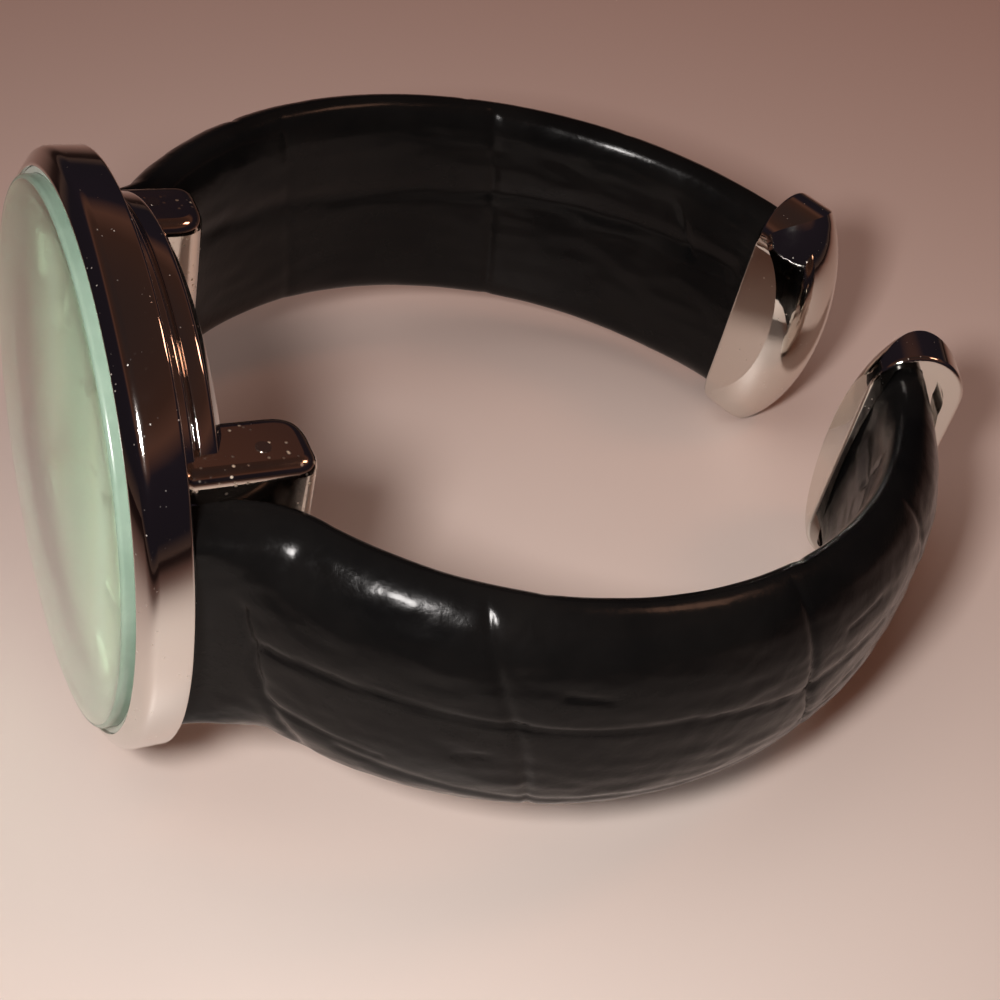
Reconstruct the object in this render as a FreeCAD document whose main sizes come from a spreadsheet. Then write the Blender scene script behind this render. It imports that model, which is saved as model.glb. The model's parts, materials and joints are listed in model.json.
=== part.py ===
"""Cuff watch: a slim round quartz watch on a sprung bangle of two padded leather arms.

Watch frame while modelling: the dial faces -Y, the wrist is at +Y, the arms lie at +X and -X
and Z runs along the axis of the cuff.  At the end everything is laid on its side as it rests.
"""
import FreeCAD
import Part
import Sketcher
import math
import os
import re

Vector = FreeCAD.Vector
Placement = FreeCAD.Placement
Rotation = FreeCAD.Rotation

SIZES = [
    # case
    ("case_radius", 20.0, "outside of the round case"),
    ("case_side", 2.6, "straight part of the case side"),
    ("bezel_width", 1.1, "sloped ring round the crystal, across"),
    ("bezel_rise", 0.75, "sloped ring round the crystal, forwards"),
    ("edge_break", 0.25, "small chamfer on turned edges"),
    ("boss_inset", 2.6, "first step of the case back inside the side of the case"),
    ("boss_step", 1.1, "height of the first step"),
    ("groove_depth", 0.8, "groove between the two steps"),
    ("groove_width", 0.4, "groove between the two steps"),
    ("upper_step", 1.1, "height of the second step"),
    ("upper_inset", 0.4, "second step is smaller by this"),
    ("boss_slope", 1.2, "slope at the rear of the boss, across"),
    ("boss_slope_rise", 0.7, "slope at the rear of the boss, rearwards"),
    ("cavity_radius", 13.4, "room for the movement"),
    ("back_wall", 1.0, "rear wall of the case"),
    ("fit", 0.03, "radial clearance of fixed round parts"),
    ("running_fit", 0.05, "radial clearance of turning parts"),
    # crystal and dial
    ("crystal_inset", 1.7, "side of the crystal inside the side of the case"),
    ("crystal_edge", 1.25, "height of the crystal's side wall"),
    ("crystal_dome", 0.9, "outside rise of the dome"),
    ("crystal_hollow", 0.35, "flat recess in the crystal's inside"),
    ("crystal_seat", 0.6, "seat of the crystal below the bezel's front"),
    ("gasket_wall", 0.4, "ring between crystal and case"),
    ("dial_inset", 1.3, "edge of the dial inside the side of the crystal"),
    ("dial_thickness", 0.35, "dial plate"),
    ("dial_depth", 1.0, "from the crystal's seat to the dial"),
    ("flange_width", 0.9, "sloped ring at the edge of the dial"),
    ("marker_inset", 1.8, "outer end of the hour markers inside the edge of the dial"),
    ("marker_length", 2.6, "hour markers"),
    ("marker_width", 0.7, "hour markers"),
    ("marker_height", 0.2, "hour markers"),
    # movement
    ("movement_radius", 8.9, "main plate"),
    ("plate_thickness", 1.1, "main plate"),
    ("movement_depth", 3.4, "movement holder, front to rear"),
    ("bridge_level", 1.2, "train bridge above the main plate"),
    ("bridge_thickness", 0.4, "train bridge"),
    ("bridge_length", 8.4, "train bridge"),
    ("bridge_width", 2.4, "train bridge"),
    ("battery_radius", 2.9, "button cell"),
    ("battery_thickness", 1.65, "button cell"),
    ("battery_offset", 5.6, "button cell from the centre"),
    ("coil_radius", 0.75, "stepper coil"),
    ("coil_length", 7.0, "stepper coil"),
    ("coil_offset", 5.6, "stepper coil from the centre"),
    ("rotor_radius", 0.45, "stepper rotor"),
    ("rotor_length", 1.0, "stepper rotor"),
    ("rotor_offset", 4.2, "stepper rotor from the centre"),
    ("board_thickness", 0.25, "circuit board"),
    ("seconds_radius", 0.2, "seconds arbor"),
    ("cannon_wall", 0.22, "cannon pinion tube"),
    ("hour_wall", 0.25, "hour wheel tube"),
    ("wheel_thickness", 0.2, "wheels of the motion work"),
    ("seconds_wheel_radius", 2.2, "seconds wheel"),
    ("minute_wheel_radius", 2.6, "wheel of the cannon pinion"),
    ("hour_wheel_radius", 3.2, "hour wheel"),
    # hands
    ("hand_thickness", 0.12, "all hands"),
    ("hand_gap", 0.16, "between one hand and the next"),
    ("hour_hand_length", 8.6, "from the centre to the tip"),
    ("hour_hand_width", 1.3, "at its widest"),
    ("minute_hand_length", 13.2, "from the centre to the tip"),
    ("minute_hand_width", 1.0, "at its widest"),
    ("second_hand_length", 14.0, "from the centre to the tip"),
    ("second_hand_width", 0.32, "at its widest"),
    ("hand_tail", 3.4, "tail of the second hand"),
    # winding stem
    ("stem_level", 0.85, "stem in front of the case's rear face"),
    ("stem_radius", 0.36, "winding stem"),
    ("stem_start", 4.9, "inner end of the stem from the centre"),
    ("stem_groove", 0.4, "groove for the setting lever"),
    ("tube_radius", 0.6, "crown tube"),
    ("tube_length", 3.0, "crown tube"),
    ("tube_stand", 0.5, "crown tube proud of the case"),
    ("crown_radius", 1.6, "crown"),
    ("crown_length", 2.2, "crown"),
    ("crown_gap", 0.15, "between crown and case"),
    ("crown_skirt", 0.8, "depth of the hollow behind the crown's rim"),
    ("crown_flutes", 18, "grip grooves round the crown"),
    ("flute_radius", 0.16, "grip grooves round the crown"),
    # back cover
    ("cover_radius", 9.2, "snap-in back cover"),
    ("cover_proud", 0.2, "back cover behind the boss"),
    ("cover_lip", 0.55, "rim of the back cover"),
    ("cover_land", 0.5, "width of the ledge that carries the gasket"),
    ("gasket_height", 0.15, "flat ring under the back cover"),
    # lugs and hinges
    ("lug_inner", 9.9, "inner face of a lug block from the centre"),
    ("lug_outer", 14.5, "outer face of a lug block from the centre"),
    ("lug_length", 8.6, "rear end of a lug block"),
    ("lug_half_height", 10.9, "half the height of a lug block"),
    ("lug_corner", 2.6, "rounded inner rear corner"),
    ("lug_outer_corner", 0.9, "rounded outer rear corner"),
    ("lug_edge", 0.5, "broken edges at the ends of a lug block"),
    ("solder_gap", 0.04, "between lug block and case"),
    ("pin_across", 12.9, "hinge pin from the centre"),
    ("pin_back", 5.4, "hinge pin behind the case's rear face"),
    ("pin_radius", 0.5, "hinge pin"),
    ("knuckle_radius", 1.15, "knuckle of the arm's core"),
    ("knuckle_half_height", 3.9, "knuckle of the arm's core"),
    ("knuckle_room", 0.15, "clearance round the knuckle"),
    ("tongue_thickness", 1.2, "bar from the knuckle to the strip"),
    ("tongue_reach", 6.1, "bar from the pin into the strip"),
    ("tongue_angle", 17.0, "bar against the X direction, degrees"),
    ("spring_room", 2.2, "space for the hinge spring over the knuckle"),
    ("spring_outer", 1.1, "slit spring sleeve round the pin"),
    ("spring_inner", 0.7, "slit spring sleeve round the pin"),
    ("spring_slit", 0.5, "slit of the spring sleeve"),
    ("opening", 12.0, "each arm opens by this, degrees"),
    ("facing_outer", 17.9, "flat leather on the lug's outer face, from the centre"),
    ("facing_rear", 4.6, "rear end of the flat leather"),
    ("facing_half_height", 8.2, "half the height of the flat leather"),
    # arms
    ("apex_back", 28.5, "widest place of the cuff behind the case"),
    ("apex_across", 27.4, "inside of the cuff at its widest, from the centre"),
    ("front_radius", 25.5, "inside curve from the lug to the widest place"),
    ("rear_radius", 29.2, "inside curve from the widest place to the cap"),
    ("front_sweep", 66.0, "front curve before it is trimmed, degrees"),
    ("rear_sweep", 66.4, "rear curve up to the cap's shoulder, degrees"),
    ("arm_half_height", 9.2, "half the width of the band"),
    ("arm_thickness", 5.2, "padded band at its thickest"),
    ("inner_bulge", 0.4, "inside of the band swells by this"),
    ("edge_inner", 1.2, "top of the band's edge from its inside"),
    ("inner_corner_out", 0.35, "where the inside turns into the edge"),
    ("inner_corner_drop", 0.6, "where the inside turns into the edge"),
    ("shoulder_out", 4.5, "where the edge turns into the outside"),
    ("shoulder_drop", 3.8, "where the edge turns into the outside"),
    ("edge_fullness", 0.74, "how far the edge bulges to its corner"),
    ("leather_wall", 0.8, "leather with its lining"),
    ("soft_gap", 0.3, "between soft pieces and their neighbours"),
    ("strip_inner", 1.15, "spring strip from the inside of the band"),
    ("strip_thickness", 0.8, "spring strip"),
    ("strip_half_height", 6.4, "spring strip"),
    ("strip_sweep", 52.5, "front end of the strip, degrees"),
    ("foam_gap", 0.12, "between the foam and its neighbours"),
    # end caps
    ("cap_width", 7.4, "end cap, inside to outside"),
    ("cap_proud", 1.3, "end cap stands proud of the band's inside"),
    ("cap_half_height", 10.6, "end cap"),
    ("cap_length", 6.8, "end cap, from its shoulder to its tip"),
    ("cap_crown_across", 4.7, "half axis of the domed end, across"),
    ("cap_crown_height", 12.4, "half axis of the domed end, along Z"),
    ("cap_pocket", 1.3, "the band enters the cap by this"),
    ("cap_slot", 4.2, "slot for the spring strip"),
    ("strip_grip", 5.0, "strip beyond the cap's shoulder, degrees"),
    ("cap_room", 0.3, "clearance round the band in the cap"),
    ("cap_edge", 0.3, "rounded edge of the cap's shoulder"),
]

doc = FreeCAD.newDocument("CuffWatch")
sheet = doc.addObject("Spreadsheet::Sheet", "Sizes")
for row, (alias, value, meaning) in enumerate(SIZES, start=1):
    sheet.set(f"A{row}", meaning)
    sheet.set(f"B{row}", str(value))
    sheet.setAlias(f"B{row}", alias)
doc.recompute()

ALIASES = re.compile(r"\b(" + "|".join(alias for alias, _, _ in SIZES) + r")\b")

# Places along Y, worked out from the sizes
FRONT = "(-case_side - bezel_rise)"
SEAT = f"({FRONT} + crystal_seat)"
DIAL_TOP = f"({SEAT} + dial_depth)"
DIAL_UNDER = f"({DIAL_TOP} + dial_thickness)"
PLATE_REAR = f"({DIAL_UNDER} + plate_thickness)"
BRIDGE = f"({PLATE_REAR} + bridge_level)"
RING_TOP = "(boss_step + groove_width)"
UPPER_TOP = f"({RING_TOP} + upper_step)"
BOSS_TOP = f"({UPPER_TOP} + boss_slope_rise)"
WALL_FRONT = f"({BOSS_TOP} - back_wall)"
COVER_SEAT = f"({BOSS_TOP} - cover_lip)"
HOUR_HAND = f"({DIAL_TOP} - marker_height - hand_gap)"
MINUTE_HAND = f"({HOUR_HAND} - hand_thickness - hand_gap)"
SECOND_HAND = f"({MINUTE_HAND} - hand_thickness - hand_gap)"
ARBOR_FRONT = f"({SECOND_HAND} - hand_thickness)"

# Radii, worked out from the sizes
BOSS_RADIUS = "(case_radius - boss_inset)"
CRYSTAL_RADIUS = "(case_radius - crystal_inset)"
CRYSTAL_BORE = f"({CRYSTAL_RADIUS} + gasket_wall + 2 * fit)"
DIAL_RADIUS = f"({CRYSTAL_RADIUS} - dial_inset)"
DIAL_BORE = f"({DIAL_RADIUS} + fit)"
MARKER_OUTER = f"({DIAL_RADIUS} - marker_inset)"
CANNON_BORE = "(seconds_radius + running_fit)"
CANNON_RADIUS = f"({CANNON_BORE} + cannon_wall)"
HOUR_BORE = f"({CANNON_RADIUS} + running_fit)"
HOUR_RADIUS = f"({HOUR_BORE} + hour_wall)"
HOUR_CLEAR = f"({HOUR_RADIUS} + running_fit)"
UPPER_RADIUS = f"({BOSS_RADIUS} - upper_inset)"

sub_parts = []


def bound(expression):
    """The expression with each size written as a cell of the sheet."""
    return ALIASES.sub(r"Sizes.\1", str(expression))


def number(expression):
    """The present value of an expression of sizes."""
    return float(sheet.evalExpression(ALIASES.sub(r"\1", str(expression))))


def keep(item, node, offset=None):
    """Register an object, where it stands or at an offset, as the sub-part of this name."""
    item.Label = node
    sub_parts.append((item, offset or item.Placement))


def new_body(name):
    return doc.addObject("PartDesign::Body", name)


def new_sketch(body, name, plane):
    sketch = body.newObject("Sketcher::SketchObject", name)
    origin_plane = [item for item in body.Origin.OriginFeatures if item.Role == plane][0]
    sketch.AttachmentSupport = [(origin_plane, "")]
    sketch.MapMode = "FlatFace"
    return sketch


def fix_point(sketch, geometry, end, across, along):
    """Tie one end of a sketch element to expressions of sizes."""
    for kind, axis, expression in (("DistanceX", -2, across), ("DistanceY", -1, along)):
        value = number(expression)
        if abs(value) < 1e-9:
            sketch.addConstraint(Sketcher.Constraint("PointOnObject", geometry, end, axis))
            continue
        index = sketch.addConstraint(Sketcher.Constraint(kind, -1, 1, geometry, end, value))
        sketch.setExpression(f"Constraints[{index}]", bound(expression))


def end_at(sketch, geometry, place):
    """Which end of a side lies at this place: an arc may be stored the other way round."""
    return min((1, 2), key=lambda end: sketch.getPoint(geometry, end).distanceToPoint(place))


def draw(sketch, points):
    """Closed outline through the points, with bent sides.

    A point ("via", x, y) bends the side it stands in through that place.  With "dome" it only
    says roughly where: the bend's centre is on the axis of the dial.
    """
    corners = []
    bends = {}
    for point in points:
        if point[0] in ("via", "dome"):
            bends[len(corners) - 1] = point
        else:
            corners.append(point)
    places = [Vector(number(across), number(along), 0) for across, along in corners]
    first = sketch.GeometryCount
    for side, start in enumerate(places):
        finish = places[(side + 1) % len(places)]
        if side in bends:
            middle = Vector(number(bends[side][1]), number(bends[side][2]), 0)
            sketch.addGeometry(Part.Arc(start, middle, finish), False)
        else:
            sketch.addGeometry(Part.LineSegment(start, finish), False)
    for side, start in enumerate(places):
        here = first + side
        before = first + (side - 1) % len(places)
        near, far = end_at(sketch, here, start), end_at(sketch, before, start)
        sketch.addConstraint(Sketcher.Constraint("Coincident", before, far, here, near))
        fix_point(sketch, here, near, *corners[side])
    for side, (kind, across, along) in bends.items():
        if kind == "dome":
            sketch.addConstraint(Sketcher.Constraint("PointOnObject", first + side, 3, -2))
            continue
        mark = sketch.addGeometry(Part.Point(Vector(number(across), number(along), 0)), True)
        sketch.addConstraint(Sketcher.Constraint("PointOnObject", mark, 1, first + side))
        fix_point(sketch, mark, 1, across, along)


def turned(name, points, body=None):
    """Solid of revolution about the dial's axis from an outline of (radius, place along Y)."""
    body = body or new_body(name)
    sketch = new_sketch(body, name + "Profile", "XY_Plane")
    draw(sketch, points)
    turn = body.newObject("PartDesign::Revolution", name + "Turn")
    turn.Profile = sketch
    turn.ReferenceAxis = (sketch, ["V_Axis"])
    turn.Angle = 360
    return body


def ring(name, inner, outer, front, rear):
    return turned(name, [(inner, front), (outer, front), (outer, rear), (inner, rear)])


def plate(name, plane, points, length, body=None, both_ways=False):
    """Outline given a thickness, away from its plane or to both sides of it."""
    body = body or new_body(name)
    sketch = new_sketch(body, name + "Outline", plane)
    draw(sketch, points)
    pad = body.newObject("PartDesign::Pad", name + "Pad")
    pad.Profile = sketch
    pad.setExpression("Length", bound(length))
    if both_ways:
        pad.SideType = "Symmetric"
    return body


def rod(name, radius, length, base, turn=None):
    """Cylinder from its base along Z, or turned first by a rotation."""
    item = doc.addObject("Part::Cylinder", name)
    item.setExpression("Radius", bound(radius))
    item.setExpression("Height", bound(length))
    item.Placement = Placement(Vector(*(number(value) for value in base)), turn or Rotation())
    return item


def block(name, sizes, base, turn=None):
    """Box of the three sizes with its lowest corner at the base."""
    item = doc.addObject("Part::Box", name)
    for edge, expression in zip(("Length", "Width", "Height"), sizes):
        item.setExpression(edge, bound(expression))
    item.Placement = Placement(Vector(*(number(value) for value in base)), turn or Rotation())
    return item


def union(name, items):
    item = doc.addObject("Part::MultiFuse", name)
    item.Shapes = items
    return item


def minus(name, base, tool):
    item = doc.addObject("Part::Cut", name)
    item.Base = base
    item.Tool = tool
    return item


def common(name, items):
    item = doc.addObject("Part::MultiCommon", name)
    item.Shapes = items
    return item


def mirrored(name, source):
    """The same piece on the other side of the cuff."""
    item = doc.addObject("Part::Mirroring", name)
    item.Source = source
    item.Base = Vector(0, 0, 0)
    item.Normal = Vector(1, 0, 0)
    return item


REARWARDS = Rotation(Vector(1, 0, 0), -90)
DOWNWARDS = Rotation(Vector(1, 0, 0), 180)


# Case, crystal and dial

def case_middle():
    """Turned case: bezel slope in front, two-step boss behind, seats for crystal and dial."""
    groove = f"({BOSS_RADIUS} - groove_depth)"
    shell = turned("CaseShell", [
        (CRYSTAL_BORE, FRONT), ("case_radius - bezel_width", FRONT), ("case_radius", "-case_side"),
        ("case_radius", "-edge_break"), ("case_radius - edge_break", "0"),
        (BOSS_RADIUS, "0"), (BOSS_RADIUS, "boss_step"), (groove, "boss_step"),
        (groove, RING_TOP), (UPPER_RADIUS, RING_TOP), (UPPER_RADIUS, UPPER_TOP),
        (f"{UPPER_RADIUS} - boss_slope", BOSS_TOP), ("cover_radius + fit", BOSS_TOP),
        ("cover_radius + fit", COVER_SEAT), ("cover_radius - cover_land", COVER_SEAT),
        ("cover_radius - cover_land", WALL_FRONT), ("cavity_radius", WALL_FRONT),
        ("cavity_radius", DIAL_UNDER), (DIAL_BORE, DIAL_UNDER), (DIAL_BORE, SEAT),
        (CRYSTAL_BORE, SEAT)])
    stem_hole = rod("StemHole", "stem_radius + running_fit", "case_radius",
                    ("0", "-stem_level", "0"), DOWNWARDS)
    tube_hole = rod("TubeHole", "tube_radius + fit", "tube_length",
                    ("0", "-stem_level", "tube_length - case_radius - tube_stand"), DOWNWARDS)
    keep(minus("Case", shell, union("CaseHoles", [stem_hole, tube_hole])), "case_middle")


def crystal():
    """Domed crystal, recessed inside for the hands, pressed with its ring into the case."""
    edge_front = f"({SEAT} - crystal_edge)"
    rim = f"({CRYSTAL_RADIUS} - 1.4 * flange_width)"
    keep(turned("Crystal", [
        (rim, SEAT), (CRYSTAL_RADIUS, SEAT), (CRYSTAL_RADIUS, edge_front),
        ("dome", f"{CRYSTAL_RADIUS} * 0.5", f"{edge_front} - crystal_dome * 0.75"),
        ("0", f"{edge_front} - crystal_dome"), ("0", f"{SEAT} - crystal_hollow"),
        (rim, f"{SEAT} - crystal_hollow")]), "crystal")
    keep(ring("Gasket", f"{CRYSTAL_RADIUS} + fit", f"{CRYSTAL_RADIUS} + fit + gasket_wall",
              f"{FRONT} + edge_break", SEAT), "crystal_gasket")


def dial_group():
    """Dial plate, the sloped flange round it and twelve raised hour markers."""
    keep(ring("Dial", HOUR_CLEAR, DIAL_RADIUS, DIAL_TOP, DIAL_UNDER), "dial")
    inner = f"({DIAL_RADIUS} - flange_width)"
    keep(turned("Flange", [
        (f"{DIAL_RADIUS} - flange_width * 0.4", SEAT), (DIAL_RADIUS, SEAT),
        (DIAL_RADIUS, DIAL_TOP), (inner, DIAL_TOP)]), "dial_flange")
    bars = []
    for hour in range(12):
        width = "marker_width * 1.8" if hour % 3 == 0 else "marker_width"
        bar = block(f"Marker{hour}", ("marker_length", "marker_height", width),
                    (f"{MARKER_OUTER} - marker_length", f"{DIAL_TOP} - marker_height", f"-({width}) / 2"))
        bar.Placement = Placement(Vector(), Rotation(Vector(0, 1, 0), 30 * hour)) * bar.Placement
        bars.append(bar)
    keep(union("Markers", bars), "hour_markers")


# Movement

def movement():
    """Quartz movement in its plastic holder, with a notch for the stem and its setting lever."""
    notch = "(stem_radius * 6)"
    channel = block("HolderChannel", (notch, "movement_depth + 2", "case_radius"),
                    (f"-{notch} / 2", f"{DIAL_UNDER} - 1", "-case_radius"))
    holder = ring("HolderRing", "movement_radius + fit", "cavity_radius - fit",
                  DIAL_UNDER, f"{DIAL_UNDER} + movement_depth")
    keep(minus("Holder", holder, channel), "movement_holder")

    notch_box = block("StemNotch", (notch, "plate_thickness + 2", "movement_radius"),
                      (f"-{notch} / 2", f"{DIAL_UNDER} - 1", "0.4 - stem_start - movement_radius"))
    recess = f"({DIAL_UNDER} + 2 * wheel_thickness)"
    base = turned("PlateTurned", [
        ("hour_wheel_radius + running_fit", DIAL_UNDER), ("movement_radius", DIAL_UNDER),
        ("movement_radius", PLATE_REAR), (HOUR_BORE, PLATE_REAR), (HOUR_BORE, recess),
        ("hour_wheel_radius + running_fit", recess)])
    pillar_place = "(bridge_length / 2 - bridge_width / 4)"
    pillars = [rod(f"Pillar{side}", "bridge_width / 4", "bridge_level",
                   ("0", PLATE_REAR, f"{sign} * {pillar_place}"), REARWARDS)
               for side, sign in (("Up", "1"), ("Down", "-1"))]
    keep(minus("MainPlate", union("PlateAndPillars", [base] + pillars), notch_box), "main_plate")

    bar = block("BridgeBar", ("bridge_width", "bridge_thickness", "bridge_length"),
                ("-bridge_width / 2", BRIDGE, "-bridge_length / 2"))
    pivot = rod("BridgePivot", "seconds_radius + running_fit", "bridge_thickness + 2",
                ("0", f"{BRIDGE} - 1", "0"), REARWARDS)
    keep(minus("Bridge", bar, pivot), "train_bridge")

    slant = math.radians(146)
    keep(rod("Battery", "battery_radius", "battery_thickness",
             (f"battery_offset * {math.cos(slant)}", PLATE_REAR,
              f"battery_offset * {math.sin(slant)}"), REARWARDS), "battery")
    keep(rod("Coil", "coil_radius", "coil_length",
             ("coil_offset", f"{PLATE_REAR} + coil_radius + foam_gap", "-coil_length / 2")), "stepper_coil")
    lean = math.radians(-36)
    keep(rod("Rotor", "rotor_radius", "rotor_length",
             (f"rotor_offset * {math.cos(lean)}", f"{PLATE_REAR} + foam_gap",
              f"rotor_offset * {math.sin(lean)}"), REARWARDS), "stepper_rotor")
    board_level = f"({PLATE_REAR} + 2 * coil_radius + 2 * foam_gap)"
    keep(block("Board", ("coil_radius * 4", "board_thickness", "coil_length"),
               ("coil_offset - 2 * coil_radius", board_level, "-coil_length / 2")), "circuit_board")


def motion_work():
    """Seconds arbor, cannon pinion and hour wheel, one inside the other."""
    minute_wheel = f"({PLATE_REAR} + foam_gap)"
    seconds_wheel = f"({minute_wheel} + 2 * wheel_thickness + foam_gap)"
    keep(turned("SecondsWheel", [
        ("0", ARBOR_FRONT), ("seconds_radius", ARBOR_FRONT), ("seconds_radius", seconds_wheel),
        ("seconds_wheel_radius", seconds_wheel),
        ("seconds_wheel_radius", f"{seconds_wheel} + wheel_thickness"),
        ("seconds_radius", f"{seconds_wheel} + wheel_thickness"),
        ("seconds_radius", f"{BRIDGE} + bridge_thickness / 2"),
        ("0", f"{BRIDGE} + bridge_thickness / 2")]), "seconds_wheel")
    keep(turned("CannonPinion", [
        (CANNON_BORE, f"{MINUTE_HAND} - hand_thickness"), (CANNON_RADIUS, f"{MINUTE_HAND} - hand_thickness"),
        (CANNON_RADIUS, minute_wheel), ("minute_wheel_radius", minute_wheel),
        ("minute_wheel_radius", f"{minute_wheel} + wheel_thickness"),
        (CANNON_BORE, f"{minute_wheel} + wheel_thickness")]), "cannon_pinion")
    wheel_front = f"({DIAL_UNDER} + foam_gap / 2)"
    keep(turned("HourWheel", [
        (HOUR_BORE, f"{HOUR_HAND} - hand_thickness"), (HOUR_RADIUS, f"{HOUR_HAND} - hand_thickness"),
        (HOUR_RADIUS, wheel_front), ("hour_wheel_radius", wheel_front),
        ("hour_wheel_radius", f"{wheel_front} + wheel_thickness"),
        (HOUR_BORE, f"{wheel_front} + wheel_thickness")]), "hour_wheel")


def hand(node, name, length, width, bore, level, clock_angle, tail="0"):
    """Tapered hand that points at 12 and is then turned clockwise to its place."""
    boss = f"({bore} * 1.7)"
    root = f"({boss} * 0.6)"
    half = f"({width}) / 2"
    blade = plate(name + "Blade", "XZ_Plane", [
        (f"-({tail}) - {root}", f"-{half} * 0.6"), (root, f"-{half}"), (f"{length} * 0.82", f"-{half} * 0.8"),
        (length, "0"), (f"{length} * 0.82", f"{half} * 0.8"), (root, half),
        (f"-({tail}) - {root}", f"{half} * 0.6")], "hand_thickness")
    blade.Placement = Placement(Vector(0, number(level), 0), Rotation())
    hub = rod(name + "Hub", boss, "hand_thickness", ("0", level + " - hand_thickness", "0"), REARWARDS)
    hole = rod(name + "Hole", f"{bore} + fit / 2", "hand_thickness * 3",
               ("0", level + " - hand_thickness * 2", "0"), REARWARDS)
    turn = Placement(Vector(), Rotation(Vector(0, 1, 0), clock_angle))
    keep(minus(name, union(name + "Solid", [blade, hub]), hole), node, turn)


def hands():
    """Hands at about eight minutes past ten."""
    minutes_past = 8.4
    hand("hour_hand", "HourHand", "hour_hand_length", "hour_hand_width", HOUR_RADIUS, HOUR_HAND,
         30 * (10 + minutes_past / 60))
    hand("minute_hand", "MinuteHand", "minute_hand_length", "minute_hand_width", CANNON_RADIUS,
         MINUTE_HAND, 6 * minutes_past)
    hand("second_hand", "SecondHand", "second_hand_length", "second_hand_width", "seconds_radius",
         SECOND_HAND, 204, "hand_tail")


# Winding stem and crown

def stem_group():
    """Stem with its lever groove, tube in the case wall and fluted crown, all at three o'clock."""
    reach = "(case_radius + crown_gap + crown_length / 2)"
    groove_start = "(stem_start + 2 * stem_groove)"
    waist = "(stem_radius * 0.62)"
    stem = turned("Stem", [
        ("0", "stem_start"), ("stem_radius", "stem_start"), ("stem_radius", groove_start),
        (waist, groove_start), (waist, f"{groove_start} + stem_groove"),
        ("stem_radius", f"{groove_start} + stem_groove"), ("stem_radius", reach), ("0", reach)])
    across = Placement(Vector(0, -number("stem_level"), 0), Rotation(Vector(1, 0, 0), -90))
    keep(stem, "stem", across)

    lever_width = "(stem_radius * 4.6)"
    lever_depth = "(stem_radius * 2 + foam_gap)"
    leaf = "(stem_groove * 0.7)"
    lever_base = f"(-{groove_start} - stem_groove * 0.85)"
    fork = block("LeverPlate", (lever_width, lever_depth, leaf),
                 (f"-{lever_width} / 2", f"-stem_level - {lever_depth} / 2", lever_base))
    gap = f"({waist} + running_fit)"
    mouth = block("LeverMouth", (f"2 * {gap}", lever_depth, f"{leaf} * 3"),
                  (f"-{gap}", f"-stem_level - {gap}", f"{lever_base} - {leaf}"))
    keep(minus("Lever", fork, mouth), "setting_lever")

    tube = turned("Tube", [
        ("stem_radius + running_fit", "case_radius + tube_stand - tube_length"),
        ("tube_radius", "case_radius + tube_stand - tube_length"),
        ("tube_radius", "case_radius + tube_stand"),
        ("stem_radius + running_fit", "case_radius + tube_stand")])
    keep(tube, "crown_tube", across)

    inner = "(case_radius + crown_gap)"
    outer = f"({inner} + crown_length)"
    crown = new_body("Crown")
    turned("CrownTurned", [
        ("tube_radius + running_fit", inner), ("crown_radius", inner),
        ("crown_radius", f"{outer} - edge_break"), ("crown_radius - edge_break", outer),
        ("0", outer), ("0", f"{reach} + fit"), ("stem_radius + fit / 2", f"{reach} + fit"),
        ("stem_radius + fit / 2", f"{inner} + crown_skirt"),
        ("tube_radius + running_fit", f"{inner} + crown_skirt")], crown)
    doc.recompute()
    cutter = new_sketch(crown, "FluteProfile", "XZ_Plane")
    cutter.addGeometry(Part.Circle(Vector(number("crown_radius"), 0, 0), Vector(0, 0, 1),
                                   number("flute_radius")), False)
    fix_point(cutter, 0, 3, "crown_radius", "0")
    index = cutter.addConstraint(Sketcher.Constraint("Radius", 0, number("flute_radius")))
    cutter.setExpression(f"Constraints[{index}]", bound("flute_radius"))
    flute = crown.newObject("PartDesign::Pocket", "Flute")
    flute.Profile = cutter
    flute.Type = "ThroughAll"
    flute.SideType = "Symmetric"
    pattern = crown.newObject("PartDesign::PolarPattern", "Flutes")
    pattern.Originals = [flute]
    pattern.Axis = (cutter, ["N_Axis"])
    pattern.Angle = 360
    pattern.Occurrences = int(number("crown_flutes"))
    crown.Tip = pattern
    keep(crown, "crown", across)


# Back cover

def back_cover():
    """Round cover that snaps into the boss between the lugs, on a flat ring."""
    plug = "(cover_radius - cover_land - fit)"
    rest = f"({COVER_SEAT} + gasket_height)"
    rear = f"({BOSS_TOP} + cover_proud)"
    keep(turned("Cover", [
        ("0", f"{WALL_FRONT} + edge_break"), (plug, f"{WALL_FRONT} + edge_break"), (plug, rest),
        ("cover_radius", rest), ("cover_radius", f"{rear} - edge_break"),
        ("cover_radius - edge_break", rear), ("0", rear)]), "back_cover")
    keep(ring("BackRing", "cover_radius - cover_land + fit", "cover_radius", COVER_SEAT, rest),
         "back_gasket")


# Lugs and hinges

def pin_rod(name, radius, low, high):
    return rod(name, radius, f"({high}) - ({low})", ("pin_across", "pin_back", low))


def tongue_box(name, swing, extra):
    """The bar from the pin towards the strip, opened by an angle and grown all round."""
    box = block(name, (f"tongue_reach + {extra}", f"tongue_thickness + 2 * ({extra})",
                       f"2 * (knuckle_half_height + {extra})"),
                ("0", f"-tongue_thickness / 2 - ({extra})", f"-knuckle_half_height - ({extra})"))
    angle = number("tongue_angle") - swing
    pin = Vector(number("pin_across"), number("pin_back"), 0)
    box.Placement = Placement(pin, Rotation(Vector(0, 0, 1), angle)) * box.Placement
    return box


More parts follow.
